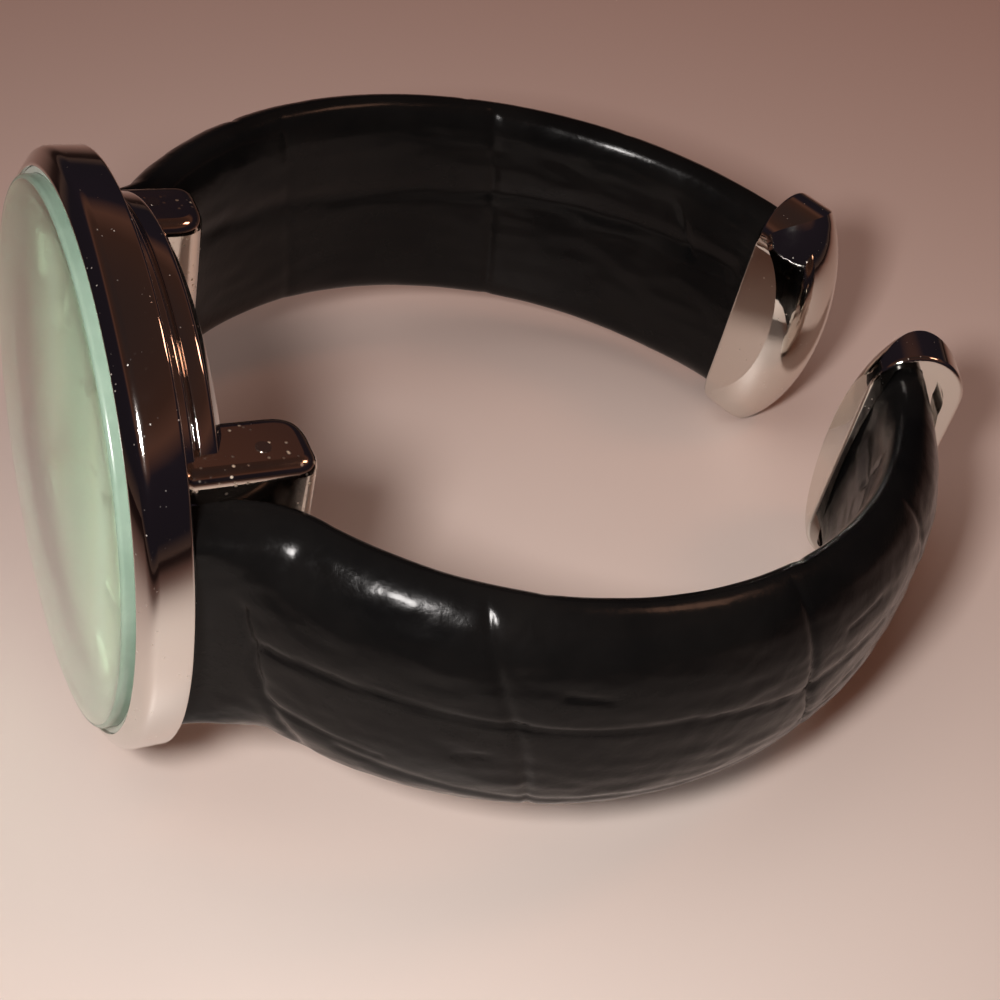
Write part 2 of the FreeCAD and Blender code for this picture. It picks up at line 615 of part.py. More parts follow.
def lugs():
    """Lug block cut to fit the stepped boss, bored for its pin and slotted for the knuckle."""
    body = new_body("LugBody")
    bend = "(1 - sqrt(0.5))"
    plate("LugBlock", "XY_Plane", [
        ("lug_inner", "0"), ("lug_outer", "0"), ("lug_outer", "lug_length - lug_outer_corner"),
        ("via", f"lug_outer - lug_outer_corner * {bend}", f"lug_length - lug_outer_corner * {bend}"),
        ("lug_outer - lug_outer_corner", "lug_length"), ("lug_inner + lug_corner", "lug_length"),
        ("via", f"lug_inner + lug_corner * {bend}", f"lug_length - lug_corner * {bend}"),
        ("lug_inner", "lug_length - lug_corner")], "2 * lug_half_height", body, True)
    doc.recompute()
    pad = body.Tip
    ends = [f"Face{place}" for place, face in enumerate(pad.Shape.Faces, start=1)
            if abs(abs(face.CenterOfMass.z) - number("lug_half_height")) < 1e-6]
    edges = body.newObject("PartDesign::Fillet", "LugEdges")
    edges.Base = (pad, ends)
    edges.setExpression("Radius", bound("lug_edge"))
    boss = turned("BossRoom", [
        ("0", "-case_side"), ("2 * case_radius", "-case_side"), ("2 * case_radius", "solder_gap"),
        (f"{BOSS_RADIUS} + solder_gap", "solder_gap"),
        (f"{BOSS_RADIUS} + solder_gap", f"{UPPER_TOP} + solder_gap"),
        (f"{UPPER_RADIUS} - boss_slope + solder_gap", f"{BOSS_TOP} + solder_gap"),
        ("0", f"{BOSS_TOP} + solder_gap")])
    room = "(knuckle_half_height + knuckle_room)"
    bore = pin_rod("PinHole", "pin_radius + fit / 2", "-2 * lug_half_height", "2 * lug_half_height")
    pocket = pin_rod("KnucklePocket", "knuckle_radius + knuckle_room", f"-{room}", f"{room} + spring_room")
    closed = tongue_box("SlotClosed", 0, "knuckle_room")
    opened = tongue_box("SlotOpened", number("opening"), "knuckle_room")
    half = tongue_box("SlotHalf", number("opening") / 2, "knuckle_room")
    right = minus("Lug", body, union("LugCuts", [boss, bore, pocket, closed, half, opened]))
    keep(right, "lug_right")
    keep(mirrored("LugLeft", right), "lug_left")

    pin = pin_rod("HingePin", "pin_radius", "-lug_half_height", "lug_half_height + fit")
    keep(pin, "hinge_pin_right")
    keep(mirrored("HingePinLeft", pin), "hinge_pin_left")

    low = f"({room} + fit)"
    sleeve = pin_rod("SpringSleeve", "spring_outer", low, f"{room} + spring_room - fit")
    bore = pin_rod("SpringBore", "spring_inner", f"{low} - 1", f"{room} + spring_room + 1")
    slit = block("SpringSlit", ("2 * spring_outer", "spring_slit", "spring_room + 2"),
                 ("pin_across - 2 * spring_outer", "pin_back - spring_slit / 2", f"{low} - 1"))
    spring = minus("Spring", sleeve, union("SpringCuts", [bore, slit]))
    keep(spring, "hinge_spring_right")
    keep(mirrored("SpringLeft", spring), "hinge_spring_left")

    facing = plate("FacingPlate", "XY_Plane", [
        ("lug_outer", "solder_gap"), ("facing_outer", "solder_gap"), ("facing_outer", "facing_rear"),
        ("lug_outer", "facing_rear")], "2 * facing_half_height", None, True)
    side = minus("Facing", facing, boss)
    keep(side, "lug_leather_right")
    keep(mirrored("FacingLeft", side), "lug_leather_left")


# Arms

def arm_section(inset, bent_sides=True):
    """Section of the padded band: (outwards from its inside, height), inset all round."""
    top = f"(arm_half_height - ({inset}))"
    outside = f"(arm_thickness - ({inset}))"
    corner = f"({top} - inner_corner_drop)"
    turn = f"({top} - shoulder_drop)"
    inside = f"(inner_corner_out + ({inset}) * 0.75)"
    edge = f"(edge_inner + ({inset}) / 2)"
    shoulder = f"(shoulder_out - ({inset}))"
    full_out = f"({edge} + ({shoulder} - {edge}) * edge_fullness)"
    full_up = f"({turn} + ({top} - {turn}) * edge_fullness)"
    if not bent_sides:
        flat = f"({turn} * 0.4)"
        return [
            (inside, f"-{corner}"), (inside, corner), (edge, top), (full_out, full_up),
            (shoulder, turn), (outside, flat), (outside, f"-{flat}"), (shoulder, f"-{turn}"),
            (full_out, f"-{full_up}"), (edge, f"-{top}")]
    rounding = f"({inside} + ({edge} - {inside}) * 0.35)"
    return [
        (inside, f"-{corner}"), ("via", f"({inset}) - inner_bulge", "0"), (inside, corner),
        ("via", rounding, f"({corner} + ({top} - {corner}) * 0.7)"), (edge, top),
        ("via", full_out, full_up), (shoulder, turn),
        ("via", outside, "0"), (shoulder, f"-{turn}"),
        ("via", full_out, f"-{full_up}"), (edge, f"-{top}"),
        ("via", rounding, f"-({corner} + ({top} - {corner}) * 0.7)")]


def bent(name, section, front_angle, rear_angle):
    """Section swept round both curves of the arm; its own origin is at the widest place."""
    body = new_body(name)
    sketch = new_sketch(body, name + "Section", "XZ_Plane")
    draw(sketch, section)
    for side, radius in (("Front", "front_radius"), ("Rear", "rear_radius")):
        axis = sketch.addGeometry(Part.LineSegment(Vector(-number(radius), -1, 0),
                                                   Vector(-number(radius), 1, 0)), True)
        fix_point(sketch, axis, 1, f"-{radius}", "-arm_half_height")
        fix_point(sketch, axis, 2, f"-{radius}", "arm_half_height")
    for place, (side, angle) in enumerate((("Front", front_angle), ("Rear", rear_angle))):
        turn = body.newObject("PartDesign::Revolution", name + side)
        turn.Profile = sketch
        turn.ReferenceAxis = (sketch, [f"Axis{place}"])
        turn.setExpression("Angle", bound(angle))
        turn.Reversed = side == "Front"
    body.Placement = Placement(Vector(number("apex_across"), number("apex_back"), 0), Rotation())
    return body


def lug_clearance(name, gap):
    """What an arm leaves free for its lug and the flat leather there, also when it is open."""
    swing = "tan(opening * 1 deg)"
    face = f"(lug_outer + ({gap}))"
    flat = f"(facing_outer + ({gap}))"
    inner_rear = f"(facing_rear + ({gap}) + ({face} - pin_across) * {swing})"
    outer_rear = f"(facing_rear + ({gap}) + ({flat} - pin_across) * {swing})"
    far_rear = "(lug_length + 3 * lug_outer_corner)"
    return plate(name, "XY_Plane", [
        ("0", "-case_side"), (f"{flat} + (pin_back + case_side) * {swing}", "-case_side"),
        (flat, "pin_back"), (flat, outer_rear), (face, inner_rear), (face, far_rear),
        ("0", far_rear)], "3 * lug_half_height", None, True)


def shoulder_place():
    """Where the cap's shoulder meets the inside of the band: X outwards, Y to the tip."""
    sweep = math.radians(number("rear_sweep"))
    radius = number("rear_radius")
    across = number("apex_across") - radius * (1 - math.cos(sweep))
    back = number("apex_back") + radius * math.sin(sweep)
    return Placement(Vector(across, back, 0), Rotation(Vector(0, 0, 1), number("rear_sweep")))


def arms():
    """Spring-steel core with its knuckle, foam and the leather round them."""
    entry = "(rear_sweep + cap_pocket * 0.75 / rear_radius * 180 / pi)"
    cover = bent("LeatherOutside", arm_section("0"), "front_sweep", entry)
    hollow = bent("LeatherHollow", arm_section("leather_wall", False), "front_sweep + 2", f"{entry} + 2")
    cuts = union("LeatherCuts", [hollow, lug_clearance("LeatherTrim", "soft_gap"),
                                 tongue_box("TongueRoom", 0, "soft_gap")])
    leather = minus("Leather", cover, cuts)
    keep(leather, "leather_cover_right")
    keep(mirrored("LeatherLeft", leather), "leather_cover_left")

    outer = "(strip_inner + strip_thickness)"
    strip = bent("Strip", [
        ("strip_inner", "-strip_half_height"), (outer, "-strip_half_height"),
        (outer, "strip_half_height"), ("strip_inner", "strip_half_height")],
        "strip_sweep", "rear_sweep + strip_grip")
    knuckle = pin_rod("Knuckle", "knuckle_radius", "-knuckle_half_height", "knuckle_half_height")
    bore = pin_rod("KnuckleBore", "pin_radius + running_fit", "-2 * knuckle_half_height",
                   "2 * knuckle_half_height")
    tongue = tongue_box("Tongue", 0, "0")
    core = minus("Core", union("CoreSolid", [strip, knuckle, tongue]), bore)
    keep(core, "arm_core_right")
    keep(mirrored("CoreLeft", core), "arm_core_left")

    low = f"({outer} + foam_gap)"
    high = "(arm_thickness - leather_wall - foam_gap)"
    rim = "(arm_half_height - leather_wall - shoulder_drop)"
    foam = bent("FoamPad", [
        (low, f"-{rim}"), (low, rim), (f"{high} - 2 * inner_bulge", f"{rim} - inner_bulge"),
        (high, f"{rim} * 0.35"), (high, f"-{rim} * 0.35"),
        (f"{high} - 2 * inner_bulge", f"-{rim} + inner_bulge")],
        "strip_sweep - 12", "rear_sweep")
    keep(foam, "arm_padding_right")
    keep(mirrored("FoamLeft", foam), "arm_padding_left")


def end_caps():
    """Polished cap: rounded section, domed end, flat inside, pocket for the end of the band."""
    inner, outer = "-cap_proud", "(cap_width - cap_proud)"
    bend = "(cap_width / 2)"
    middle = "(cap_width / 2 - cap_proud)"
    straight = f"(cap_half_height - {bend})"
    body = new_body("CapBody")
    plate("CapBlock", "XZ_Plane", [
        (inner, f"-{straight}"), ("via", middle, "-cap_half_height"), (outer, f"-{straight}"),
        (outer, straight), ("via", middle, "cap_half_height"), (inner, straight)],
        "1.2 * cap_length", body)
    pad = body.Tip
    pad.Reversed = True
    doc.recompute()
    shoulder = [f"Face{place}" for place, face in enumerate(pad.Shape.Faces, start=1)
                if abs(face.CenterOfMass.y) < 1e-6]
    edge = body.newObject("PartDesign::Fillet", "CapShoulderEdge")
    edge.Base = (pad, shoulder)
    edge.setExpression("Radius", bound("cap_edge"))
    dome = doc.addObject("Part::Ellipsoid", "CapDome")
    dome.setExpression("Radius1", bound("cap_crown_height"))
    dome.setExpression("Radius2", bound("cap_crown_across"))
    dome.setExpression("Radius3", bound("cap_length"))
    dome.Angle1, dome.Angle2, dome.Angle3 = -90, 90, 360
    dome.Placement = Placement(Vector(number(middle), 0, 0), Rotation())
    shape = common("CapSolid", [body, dome])

    pocket = plate("CapPocket", "XZ_Plane", arm_section("-cap_room"), "cap_pocket")
    pocket.Tip.Reversed = True
    place = shoulder_place()
    slot = block("CapSlot", ("strip_thickness + 3 * soft_gap", "cap_slot",
                             "2 * (strip_half_height + running_fit)"),
                 ("strip_inner - 2 * soft_gap", "0", "-strip_half_height - running_fit"))
    cap = minus("Cap", shape, union("CapCuts", [pocket, slot]))
    keep(cap, "end_cap_right", place)
    keep(mirrored("CapLeft", cap), "end_cap_left")


def lowest(item, turn):
    """Lowest point of a sub-part once everything is turned by this rotation."""
    shape = item.Shape.copy()
    shape.Placement = Placement(Vector(), turn) * shape.Placement
    return shape.optimalBoundingBox(False, False).ZMin


def resting_turn():
    """The watch lies on its crown and both caps: the turn that brings them level."""
    found = {item.Label: item for item, offset in sub_parts}
    low, high = 0.0, 30.0
    for _ in range(24):
        angle = (low + high) / 2
        turn = Rotation(Vector(1, 0, 0), -angle)
        if lowest(found["crown"], turn) < lowest(found["end_cap_right"], turn):
            low = angle
        else:
            high = angle
    return turn


def lay_down():
    """Turn every sub-part to the resting position, on the floor and centred over the origin."""
    for item, offset in sub_parts:
        item.Placement = offset
    doc.recompute()
    turn = resting_turn()
    whole = FreeCAD.BoundBox()
    for item, offset in sub_parts:
        shape = item.Shape.copy()
        shape.Placement = Placement(Vector(), turn) * shape.Placement
        whole.add(shape.optimalBoundingBox(False, False))
    shift = Vector(-whole.Center.x, -whole.Center.y, -whole.ZMin)
    rest = Placement(shift, turn)
    for item, offset in sub_parts:
        if item.TypeId != "Part::Mirroring":
            item.Placement = rest * offset
    doc.recompute()
    print("rest angle", turn.getYawPitchRoll(), "shift", tuple(shift), "size", whole)
    return rest


def check():
    """Stop if any object failed or any sub-part is not a sound solid."""
    for item in doc.Objects:
        if "Invalid" in item.State or "Error" in item.State:
            raise RuntimeError(f"{item.Name} failed: {item.State}")
    for item, _ in sub_parts:
        if item.Shape.isNull() or not item.Shape.isValid() or not item.Shape.Solids:
            raise RuntimeError(f"{item.Label} is not a valid solid")


def export():
    os.makedirs("parts", exist_ok=True)
    for item, _ in sub_parts:
        item.Shape.exportStep(os.path.join("parts", item.Label + ".step"))


for build in (case_middle, crystal, dial_group, movement, motion_work, hands, stem_group,
              back_cover, lugs, arms, end_caps):
    build()
    doc.recompute()
lay_down()
check()
export()
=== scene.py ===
import bpy
import bmesh
import json
import math
from mathutils import Matrix, Vector, noise


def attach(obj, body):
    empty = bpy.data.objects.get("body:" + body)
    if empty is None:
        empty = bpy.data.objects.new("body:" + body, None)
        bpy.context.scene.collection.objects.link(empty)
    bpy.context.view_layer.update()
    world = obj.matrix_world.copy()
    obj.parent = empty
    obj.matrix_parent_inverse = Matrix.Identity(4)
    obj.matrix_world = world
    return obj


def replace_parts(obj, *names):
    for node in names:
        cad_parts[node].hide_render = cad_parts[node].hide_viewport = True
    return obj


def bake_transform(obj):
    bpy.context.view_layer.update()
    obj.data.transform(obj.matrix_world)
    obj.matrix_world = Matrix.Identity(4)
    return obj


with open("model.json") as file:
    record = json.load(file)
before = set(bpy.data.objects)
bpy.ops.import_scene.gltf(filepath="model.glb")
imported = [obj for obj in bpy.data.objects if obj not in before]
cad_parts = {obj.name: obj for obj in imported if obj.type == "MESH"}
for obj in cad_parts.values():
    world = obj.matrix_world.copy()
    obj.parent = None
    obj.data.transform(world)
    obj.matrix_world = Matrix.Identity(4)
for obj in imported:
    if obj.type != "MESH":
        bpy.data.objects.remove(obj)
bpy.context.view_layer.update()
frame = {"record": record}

# The watch lies on its side, on its crown and the ends of both arms. Its own axes are easier to
# work in: the dial faces -Y, the arms lie at +X and -X and Z runs along the cuff. This matrix
# takes millimetres there to metres on the table, by the flat mount on the back of the case.
mm = 0.001
mount_depth = 3.5
back_mount = frame["record"]["mounts"][0]
rearward = Vector(back_mount["axis"]).normalized()
lie_angle = math.atan2(rearward.z, rearward.y)
laid = (Matrix.Translation(Vector(back_mount["pos_m"]) - rearward * mount_depth * mm)
        @ Matrix.Rotation(lie_angle, 4, "X") @ Matrix.Scale(mm, 4))
case_middle = laid @ Vector((0, 0, 0))


# The case: one turned ring of brass, chromed and polished, with a sloped bezel in front and a
# stepped boss behind, whose groove and fine tool rings show between the lugs.
def finish_mesh(piece_name, vertices, faces, smooth_angle=35):
    """Mesh from places in the watch's own axes, laid on the table, smooth except at real edges."""
    mesh = bpy.data.meshes.new(piece_name)
    mesh.from_pydata([laid @ Vector(place) for place in vertices], [], faces)
    piece = bpy.data.objects.new(piece_name, mesh)
    bpy.context.scene.collection.objects.link(piece)
    tidy = bmesh.new()
    tidy.from_mesh(mesh)
    bmesh.ops.remove_doubles(tidy, verts=tidy.verts, dist=1e-7)
    bmesh.ops.recalc_face_normals(tidy, faces=tidy.faces)
    for edge in tidy.edges:
        edge.smooth = len(edge.link_faces) == 2 and edge.calc_face_angle(0) < math.radians(smooth_angle)
    for face in tidy.faces:
        face.smooth = True
    tidy.to_mesh(mesh)
    tidy.free()
    return piece


def softened(outline, steps=4):
    """Closed outline whose corners (x, y, radius) are rounded."""
    rounded = []
    for place, (across, along, radius) in enumerate(outline):
        corner = Vector((across, along))
        before = Vector(outline[place - 1][:2]) - corner
        after = Vector(outline[(place + 1) % len(outline)][:2]) - corner
        reach = min(radius, before.length * 0.45, after.length * 0.45)
        start = corner + before.normalized() * reach
        end = corner + after.normalized() * reach
        for step in range(steps + 1 if radius else 1):
            part = step / steps
            rounded.append(tuple(start * (1 - part) ** 2 + corner * 2 * part * (1 - part)
                                 + end * part ** 2))
    return rounded


def turned_piece(piece_name, outline, turns=240):
    """Outline of (radius, place behind the case's rear face) turned round the dial's axis."""
    vertices, faces, rows = [], [], []
    for radius, along in outline:
        if radius < 1e-6:
            rows.append([len(vertices)])
            vertices.append((0, along, 0))
            continue
        rows.append(list(range(len(vertices), len(vertices) + turns)))
        for step in range(turns):
            angle = math.tau * step / turns
            vertices.append((radius * math.cos(angle), along, radius * math.sin(angle)))
    for near, far in zip(rows, rows[1:] + rows[:1]):
        if len(near) == 1 and len(far) == 1:
            continue
        for step in range(turns):
            ahead = (step + 1) % turns
            corners = [near[step % len(near)], near[ahead % len(near)],
                       far[ahead % len(far)], far[step % len(far)]]
            faces.append(list(dict.fromkeys(corners)))
    return finish_mesh(piece_name, vertices, faces)


def from_dial_axis(place):
    """How far a place on the table is from the dial's axis, and how far behind the case's rear face."""
    offset = place - case_middle
    depth = offset.dot(rearward)
    return (offset - rearward * depth).length, depth


case_radius = 20.0
case_side = 2.6
bezel_rise = 0.75
bezel_front = -case_side - bezel_rise
bore_radius = 18.76
crystal_seat = bezel_front + 0.6
seat_radius = 17.04
dial_floor = -1.3
movement_radius = 13.4
movement_floor = 2.3
cover_hole = 9.3
boss_rear = 3.3
step_radius = 17.4
case_shell = turned_piece("case_shell", softened([
    (case_radius, 0, 0.25), (case_radius, -case_side, 0.45), (18.95, bezel_front, 0.18),
    (bore_radius, bezel_front, 0.05), (bore_radius, crystal_seat, 0), (seat_radius, crystal_seat, 0),
    (seat_radius, dial_floor, 0), (movement_radius, dial_floor, 0), (movement_radius, movement_floor, 0),
    (cover_hole, movement_floor, 0), (cover_hole, boss_rear, 0.08), (15.75, boss_rear, 0.25),
    (16.98, 2.62, 0.2), (17.0, 1.5, 0.12), (16.55, 1.44, 0.1), (16.6, 1.16, 0.1),
    (step_radius, 1.1, 0.18), (step_radius, 0.02, 0.1)]))


def material(material_name):
    paint = bpy.data.materials.new(material_name)
    paint.use_nodes = True
    return paint, paint.node_tree, paint.node_tree.nodes["Principled BSDF"]


def worked(tree, kind, inputs, **settings):
    """A node with its settings and its inputs: values, or sockets to link."""
    node = tree.nodes.new(kind)
    for name, value in settings.items():
        setattr(node, name, value)
    for name, value in inputs.items():
        if isinstance(value, bpy.types.NodeSocket):
            tree.links.new(value, node.inputs[name])
        else:
            node.inputs[name].default_value = value
    return node


def ramp(tree, factor, stops):
    """Colours between stops of (position, colour), picked by a factor."""
    node = worked(tree, "ShaderNodeValToRGB", {"Fac": factor})
    node.color_ramp.elements[0].position, node.color_ramp.elements[0].color = stops[0]
    node.color_ramp.elements[1].position, node.color_ramp.elements[1].color = stops[-1]
    for position, colour in stops[1:-1]:
        node.color_ramp.elements.new(position).color = colour
    return node.outputs["Color"]


def chrome_finish(material_name, colour, worn_colour, smear, dust):
    """Polished chrome: faint waves from polishing, finger smears and fine dust."""
    paint, tree, shader = material(material_name)
    place = tree.nodes.new("ShaderNodeTexCoord").outputs["Object"]
    smears = worked(tree, "ShaderNodeTexNoise", {"Vector": place, "Scale": 160.0, "Detail": 5.0,
                                                 "Roughness": 0.6, "Distortion": 0.6})
    specks = worked(tree, "ShaderNodeTexVoronoi", {"Vector": place, "Scale": 1900.0},
                    feature="F1")
    patches = worked(tree, "ShaderNodeTexNoise", {"Vector": place, "Scale": 420.0, "Detail": 2.0})
    speck = ramp(tree, specks.outputs["Distance"], [(0.0, (1, 1, 1, 1)), (dust, (0, 0, 0, 1))])
    here = ramp(tree, patches.outputs["Fac"], [(0.46, (0, 0, 0, 1)), (0.6, (1, 1, 1, 1))])
    dusty = worked(tree, "ShaderNodeMath", {0: speck, 1: here}, operation="MULTIPLY").outputs[0]
    mix = tree.nodes.new("ShaderNodeMix")
    mix.data_type = "RGBA"
    tree.links.new(dusty, mix.inputs[0])
    mix.inputs[6].default_value = colour
    mix.inputs[7].default_value = worn_colour
    tree.links.new(mix.outputs[2], shader.inputs["Base Color"])
    shader.inputs["Metallic"].default_value = 1.0
    rough = worked(tree, "ShaderNodeMapRange", {"Value": smears.outputs["Fac"], "From Min": 0.35,
                                                "From Max": 0.75, "To Min": 0.02, "To Max": smear})
    rougher = worked(tree, "ShaderNodeMath", {0: rough.outputs[0], 1: dusty}, operation="ADD")
    tree.links.new(rougher.outputs[0], shader.inputs["Roughness"])
    waves = worked(tree, "ShaderNodeTexNoise", {"Vector": place, "Scale": 90.0, "Detail": 2.0})
    bump = worked(tree, "ShaderNodeBump", {"Height": waves.outputs["Fac"], "Strength": 0.06,
                                           "Distance": 0.0002})
    tree.links.new(bump.outputs["Normal"], shader.inputs["Normal"])
    return paint


def plain_finish(material_name, colour, metallic, roughness, grain_scale, grain_depth, streak=1.0):
    """Colour with a fine grain in tone, gloss and relief; streak draws the grain out along X."""
    paint, tree, shader = material(material_name)
    place = tree.nodes.new("ShaderNodeTexCoord").outputs["Object"]
    turned = worked(tree, "ShaderNodeMapping", {"Vector": place, "Scale": (1.0, streak, streak)})
    grain = worked(tree, "ShaderNodeTexNoise", {"Vector": turned.outputs[0], "Scale": grain_scale,
                                                "Detail": 4.0, "Roughness": 0.6})
    darker = tuple(part * 0.82 for part in colour[:3]) + (1,)
    tone = ramp(tree, grain.outputs["Fac"], [(0.35, darker), (0.65, colour)])
    tree.links.new(tone, shader.inputs["Base Color"])
    shader.inputs["Metallic"].default_value = metallic
    gloss = worked(tree, "ShaderNodeMapRange", {"Value": grain.outputs["Fac"],
                                                "To Min": roughness * 0.7, "To Max": roughness * 1.3})
    tree.links.new(gloss.outputs[0], shader.inputs["Roughness"])
    bump = worked(tree, "ShaderNodeBump", {"Height": grain.outputs["Fac"], "Strength": 0.3,
                                           "Distance": grain_depth})
    tree.links.new(bump.outputs["Normal"], shader.inputs["Normal"])
    return paint


chrome = chrome_finish("polished_chrome", (0.72, 0.69, 0.66, 1), (0.85, 0.78, 0.7, 1), 0.13, 0.16)
seal_paint = plain_finish("seal_plastic", (0.7, 0.74, 0.66, 1), 0, 0.4, 900, 0.00001)
seal_radius = (bore_radius - 0.02) * mm
seal_rear = (bezel_front + 0.9) * mm
case_shell.data.materials.append(chrome)
case_shell.data.materials.append(seal_paint)
for face in case_shell.data.polygons:
    off_axis, depth = from_dial_axis(face.center)
    if off_axis < seal_radius and depth < seal_rear:
        face.material_index = 1
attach(case_shell, "case")
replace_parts(case_shell, "case_middle")

# The crystal: a thick domed mineral glass with a ground side wall, pressed into the bezel with a
# pale plastic ring. Its edge gathers the green of the glass.
crystal_radius = 18.3
crystal_front = crystal_seat - 1.25
dome_rise = 0.9
dome_inset = 0.35
dome_radius = (crystal_radius ** 2 + dome_rise ** 2) / (2 * dome_rise)
dome_steps = 26
dome = []
for step in range(dome_steps):
    radius = (crystal_radius - dome_inset) * (1 - step / (dome_steps - 1))
    sag = math.sqrt(dome_radius ** 2 - radius ** 2) - (dome_radius - dome_rise)
    dome.append((radius, crystal_front - sag))
glass_edge = softened([(crystal_radius, crystal_seat, 0.12), (crystal_radius, crystal_front, 0.3),
                       (0, crystal_front - dome_rise, 0)])[:-1]
hollow_level = crystal_seat - 0.35
crystal_glass = turned_piece("crystal_glass", glass_edge + dome + [
    (0, hollow_level), (16.3, hollow_level), (16.8, crystal_seat - 0.02)])

glass_paint, tree, shader = material("mineral_glass")
shader.inputs["Base Color"].default_value = (0.74, 0.95, 0.82, 1)
shader.inputs["IOR"].default_value = 1.52
shader.inputs["Transmission Weight"].default_value = 1.0
place = tree.nodes.new("ShaderNodeTexCoord").outputs["Object"]
smudge = worked(tree, "ShaderNodeTexNoise", {"Vector": place, "Scale": 55.0, "Detail": 4.0})
film = worked(tree, "ShaderNodeMapRange", {"Value": smudge.outputs["Fac"], "From Min": 0.3,
                                           "From Max": 0.7, "To Min": 0.13, "To Max": 0.22})
tree.links.new(film.outputs[0], shader.inputs["Roughness"])
shader.inputs["Coat Weight"].default_value = 0.8
shader.inputs["Coat Roughness"].default_value = 0.02
see_through = worked(tree, "ShaderNodeBsdfTransparent", {"Color": (0.9, 0.97, 0.92, 1)})
light_path = tree.nodes.new("ShaderNodeLightPath")
glass_mix = worked(tree, "ShaderNodeMixShader", {"Fac": light_path.outputs["Is Shadow Ray"]})
tree.links.new(shader.outputs[0], glass_mix.inputs[1])
tree.links.new(see_through.outputs[0], glass_mix.inputs[2])
tree.links.new(glass_mix.outputs[0], tree.nodes["Material Output"].inputs["Surface"])

edge_paint, tree, shader = material("ground_glass")
shader.inputs["Roughness"].default_value = 0.22
shader.inputs["IOR"].default_value = 1.52
shader.inputs["Transmission Weight"].default_value = 0.25
place = tree.nodes.new("ShaderNodeTexCoord").outputs["Object"]
ground = worked(tree, "ShaderNodeTexNoise", {"Vector": place, "Scale": 300.0, "Detail": 4.0})
tint = ramp(tree, ground.outputs["Fac"], [(0.3, (0.27, 0.4, 0.31, 1)), (0.7, (0.36, 0.5, 0.4, 1))])
tree.links.new(tint, shader.inputs["Base Color"])

crystal_glass.data.materials.append(glass_paint)
crystal_glass.data.materials.append(edge_paint)
ground_from = (crystal_radius - 0.32) * mm
for face in crystal_glass.data.polygons:
    off_axis, depth = from_dial_axis(face.center)
    if off_axis > ground_from:
        face.material_index = 1
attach(crystal_glass, "case")
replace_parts(crystal_glass, "crystal")


def cad_finish(paint, *nodes):
    """Gives nodes that keep their solids this finish."""
    for node in nodes:
        solid = bpy.data.objects[node]
        solid.data.materials.clear()
        solid.data.materials.append(paint)


cad_finish(seal_paint, "crystal_gasket", "back_gasket")

# The dial: a thin brass disc with a pale silver lacquer, on which rings of mint and cream round a centre
# off to one side are a painted reflection of curved arcs; a printed minute track, and a sloped satin ring
# round it; applied bars mark the hours.
dial_paint, tree, shader = material("silver_lacquer_painted_arcs")
place = tree.nodes.new("ShaderNodeTexCoord").outputs["Object"]
cloud = worked(tree, "ShaderNodeTexNoise", {"Vector": place, "Scale": 130.0, "Detail": 3.0,
                                            "Distortion": 1.2})
from_side = worked(tree, "ShaderNodeMapping", {"Vector": place, "Location": (0.055, 0.03, -0.02)})
# Painted reflection: mint and cream arcs round a centre off to the side, laid into the lacquer's colour.
painted_reflection_arcs = worked(tree, "ShaderNodeTexWave", {"Vector": from_side.outputs[0], "Scale": 26.0,
                                            "Distortion": 1.6, "Detail": 2.0, "Detail Scale": 0.6},
                wave_type="RINGS", rings_direction="SPHERICAL")
tree.links.new(ramp(tree, painted_reflection_arcs.outputs["Fac"], [
    (0.0, (0.66, 0.74, 0.64, 1)), (0.45, (0.8, 0.82, 0.73, 1)), (0.8, (0.9, 0.87, 0.75, 1)),
    (1.0, (0.95, 0.94, 0.88, 1))]), shader.inputs["Base Color"])
shader.inputs["Metallic"].default_value = 0.35
sheen = worked(tree, "ShaderNodeMapRange", {"Value": cloud.outputs["Fac"], "To Min": 0.22,
                                            "To Max": 0.4})
tree.links.new(sheen.outputs[0], shader.inputs["Roughness"])
cad_finish(dial_paint, "dial")
flange_satin = plain_finish("flange_satin", (0.84, 0.88, 0.8, 1), 0.1, 0.3, 700, 0.000004, 12.0)
cad_finish(flange_satin, "dial_flange")
silvered = plain_finish("silvered_hands", (0.8, 0.83, 0.74, 1), 0.6, 0.35, 1800, 0.000002)
cad_finish(silvered, "hour_markers", "hour_hand", "minute_hand", "second_hand")

stroke_height = 0.02
track_tree = bpy.data.node_groups.new("minute_track", "GeometryNodeTree")
for socket_name, default in (("Track Radius", 15.9), ("Stroke Length", 0.8), ("Stroke Width", 0.12)):
    track_tree.interface.new_socket(socket_name, in_out="INPUT",
                                    socket_type="NodeSocketFloat").default_value = default
track_tree.interface.new_socket("Strokes", in_out="INPUT",
                                socket_type="NodeSocketInt").default_value = 60
track_tree.interface.new_socket("Ink", in_out="INPUT", socket_type="NodeSocketMaterial")
track_tree.interface.new_socket("Geometry", in_out="OUTPUT", socket_type="NodeSocketGeometry")
sizes = track_tree.nodes.new("NodeGroupInput").outputs
circle = worked(track_tree, "GeometryNodeMeshCircle", {"Vertices": sizes["Strokes"],
                                                       "Radius": sizes["Track Radius"]})
index = track_tree.nodes.new("GeometryNodeInputIndex")
angle = worked(track_tree, "ShaderNodeMath", {0: index.outputs[0], 1: math.tau}, operation="MULTIPLY")
share = worked(track_tree, "ShaderNodeMath", {0: angle.outputs[0], 1: sizes["Strokes"]},
               operation="DIVIDE")
stroke_turn = worked(track_tree, "ShaderNodeCombineXYZ", {"Z": share.outputs[0]})
stroke_size = worked(track_tree, "ShaderNodeCombineXYZ", {
    "X": sizes["Stroke Length"], "Y": sizes["Stroke Width"], "Z": stroke_height})
stroke = worked(track_tree, "GeometryNodeMeshCube", {"Size": stroke_size.outputs[0]})
strokes = worked(track_tree, "GeometryNodeInstanceOnPoints", {
    "Points": circle.outputs["Mesh"], "Instance": stroke.outputs["Mesh"],
    "Rotation": stroke_turn.outputs[0]})
real = worked(track_tree, "GeometryNodeRealizeInstances", {"Geometry": strokes.outputs[0]})
